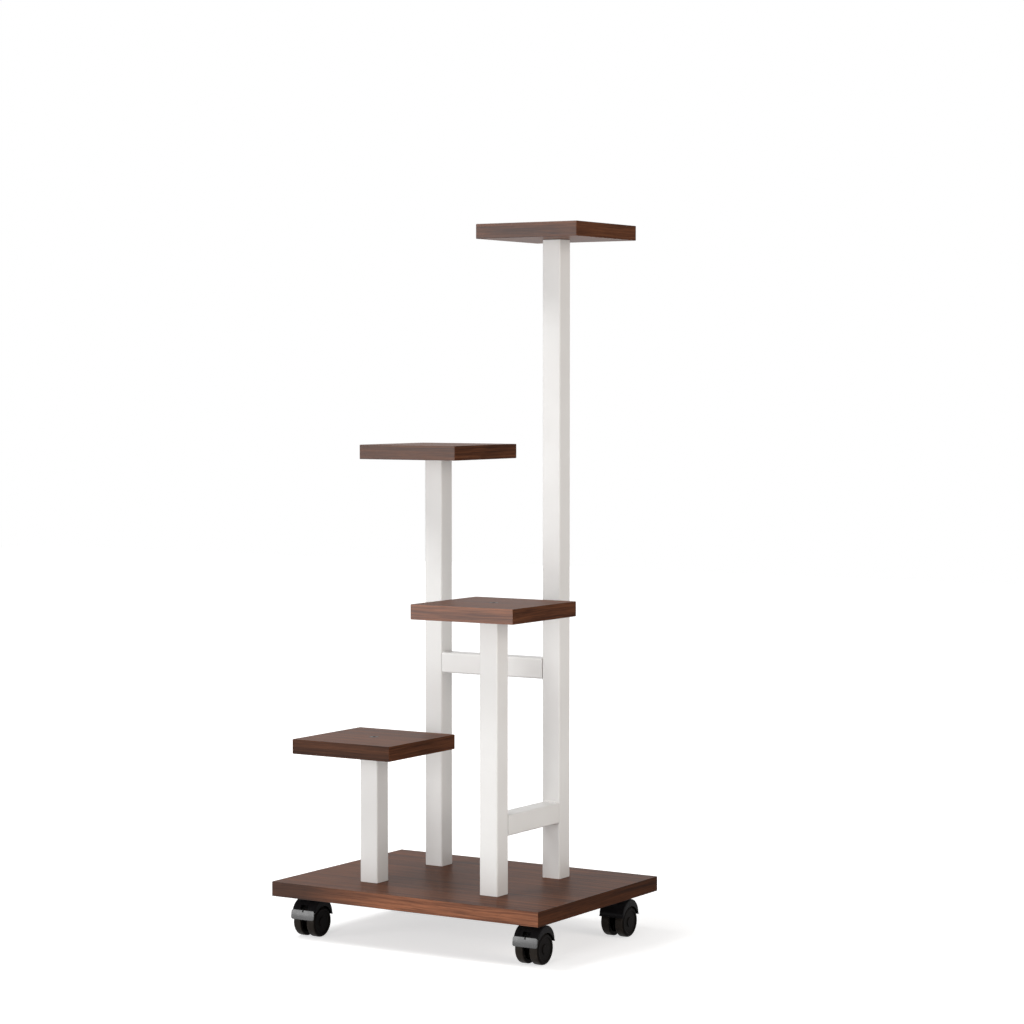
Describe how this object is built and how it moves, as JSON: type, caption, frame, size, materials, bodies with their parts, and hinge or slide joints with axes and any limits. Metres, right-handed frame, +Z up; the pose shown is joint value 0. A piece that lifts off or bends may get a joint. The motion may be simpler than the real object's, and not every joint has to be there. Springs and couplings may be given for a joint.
{
  "type": "flower cart stand",
  "caption": "Rolling tiered plant stand: square walnut-look shelves on white square steel posts of different heights, on a board with hooded swivel casters.",
  "frame": {"origin": "on the floor under the middle of the base board", "axes": "+X to the right along the long side of the base, +Y to the back, +Z up"},
  "size_m": [0.38, 0.284, 0.8657],
  "materials": {
    "walnut_board": "walnut melamine with a satin face and edge band",
    "white_frame": "satin white powder coat",
    "hood_plastic": "black moulded plastic, half gloss",
    "pedal_plastic": "black moulded plastic, glossy",
    "wheel_plastic": "black nylon, satin",
    "zinc_steel": "zinc plated",
    "black_steel": "black oxide"
  },
  "bodies": {
    "stand": {"base_board": "walnut_board", "shelf_front_left": "walnut_board", "shelf_front_right": "walnut_board", "shelf_back_left": "walnut_board", "shelf_back_right": "walnut_board", "post_front_left": "white_frame", "post_front_right": "white_frame", "post_back_left": "white_frame", "post_back_right": "white_frame", "rear_rail": "white_frame", "side_rail": "white_frame", "base_bolt_front_left": "zinc_steel", "base_bolt_front_right": "zinc_steel", "base_bolt_back_left": "zinc_steel", "base_bolt_back_right": "zinc_steel", "shelf_screw_front_left": "black_steel", "shelf_screw_front_right": "black_steel", "shelf_screw_back_left": "black_steel", "shelf_screw_back_right": "black_steel", "caster_front_left_plate": "zinc_steel", "caster_front_left_screw_1": "zinc_steel", "caster_front_left_screw_2": "zinc_steel", "caster_front_left_screw_3": "zinc_steel", "caster_front_left_screw_4": "zinc_steel", "caster_front_right_plate": "zinc_steel", "caster_front_right_screw_1": "zinc_steel", "caster_front_right_screw_2": "zinc_steel", "caster_front_right_screw_3": "zinc_steel", "caster_front_right_screw_4": "zinc_steel", "caster_back_left_plate": "zinc_steel", "caster_back_left_screw_1": "zinc_steel", "caster_back_left_screw_2": "zinc_steel", "caster_back_left_screw_3": "zinc_steel", "caster_back_left_screw_4": "zinc_steel", "caster_back_right_plate": "zinc_steel", "caster_back_right_screw_1": "zinc_steel", "caster_back_right_screw_2": "zinc_steel", "caster_back_right_screw_3": "zinc_steel", "caster_back_right_screw_4": "zinc_steel"},
    "front_left_caster": {"caster_front_left_hood": "hood_plastic", "caster_front_left_axle": "zinc_steel", "caster_front_left_pedal_pin": "zinc_steel"},
    "front_left_wheel_left": {"caster_front_left_wheel_left": "wheel_plastic"},
    "front_left_wheel_right": {"caster_front_left_wheel_right": "wheel_plastic"},
    "front_left_pedal": {"caster_front_left_brake_pedal": "pedal_plastic"},
    "front_right_caster": {"caster_front_right_hood": "hood_plastic", "caster_front_right_axle": "zinc_steel", "caster_front_right_pedal_pin": "zinc_steel"},
    "front_right_wheel_left": {"caster_front_right_wheel_left": "wheel_plastic"},
    "front_right_wheel_right": {"caster_front_right_wheel_right": "wheel_plastic"},
    "front_right_pedal": {"caster_front_right_brake_pedal": "pedal_plastic"},
    "back_left_caster": {"caster_back_left_hood": "hood_plastic", "caster_back_left_axle": "zinc_steel"},
    "back_left_wheel_left": {"caster_back_left_wheel_left": "wheel_plastic"},
    "back_left_wheel_right": {"caster_back_left_wheel_right": "wheel_plastic"},
    "back_right_caster": {"caster_back_right_hood": "hood_plastic", "caster_back_right_axle": "zinc_steel"},
    "back_right_wheel_left": {"caster_back_right_wheel_left": "wheel_plastic"},
    "back_right_wheel_right": {"caster_back_right_wheel_right": "wheel_plastic"}
  },
  "joints": [
    {"name": "front_left_swivel", "type": "hinge", "parent": "stand", "child": "front_left_caster", "pos_m": [-0.159, -0.091, 0.0482], "axis": [0, 0, 1], "continuous": true},
    {"name": "front_left_wheel_left_spin", "type": "hinge", "parent": "front_left_caster", "child": "front_left_wheel_left", "pos_m": [-0.159, -0.099, 0.0185], "axis": [1, 0, 0], "continuous": true},
    {"name": "front_left_wheel_right_spin", "type": "hinge", "parent": "front_left_caster", "child": "front_left_wheel_right", "pos_m": [-0.159, -0.099, 0.0185], "axis": [1, 0, 0], "continuous": true},
    {"name": "front_left_brake", "type": "hinge", "parent": "front_left_caster", "child": "front_left_pedal", "pos_m": [-0.159, -0.107, 0.0305], "axis": [1, 0, 0], "range_deg": [0, 6]},
    {"name": "front_right_swivel", "type": "hinge", "parent": "stand", "child": "front_right_caster", "pos_m": [0.159, -0.091, 0.0482], "axis": [0, 0, 1], "continuous": true},
    {"name": "front_right_wheel_left_spin", "type": "hinge", "parent": "front_right_caster", "child": "front_right_wheel_left", "pos_m": [0.159, -0.099, 0.0185], "axis": [1, 0, 0], "continuous": true},
    {"name": "front_right_wheel_right_spin", "type": "hinge", "parent": "front_right_caster", "child": "front_right_wheel_right", "pos_m": [0.159, -0.099, 0.0185], "axis": [1, 0, 0], "continuous": true},
    {"name": "front_right_brake", "type": "hinge", "parent": "front_right_caster", "child": "front_right_pedal", "pos_m": [0.159, -0.107, 0.0305], "axis": [1, 0, 0], "range_deg": [0, 6]},
    {"name": "back_left_swivel", "type": "hinge", "parent": "stand", "child": "back_left_caster", "pos_m": [-0.159, 0.091, 0.0482], "axis": [0, 0, 1], "continuous": true},
    {"name": "back_left_wheel_left_spin", "type": "hinge", "parent": "back_left_caster", "child": "back_left_wheel_left", "pos_m": [-0.159, 0.099, 0.0185], "axis": [1, 0, 0], "continuous": true},
    {"name": "back_left_wheel_right_spin", "type": "hinge", "parent": "back_left_caster", "child": "back_left_wheel_right", "pos_m": [-0.159, 0.099, 0.0185], "axis": [1, 0, 0], "continuous": true},
    {"name": "back_right_swivel", "type": "hinge", "parent": "stand", "child": "back_right_caster", "pos_m": [0.159, 0.091, 0.0482], "axis": [0, 0, 1], "continuous": true},
    {"name": "back_right_wheel_left_spin", "type": "hinge", "parent": "back_right_caster", "child": "back_right_wheel_left", "pos_m": [0.159, 0.099, 0.0185], "axis": [1, 0, 0], "continuous": true},
    {"name": "back_right_wheel_right_spin", "type": "hinge", "parent": "back_right_caster", "child": "back_right_wheel_right", "pos_m": [0.159, 0.099, 0.0185], "axis": [1, 0, 0], "continuous": true}
  ]
}
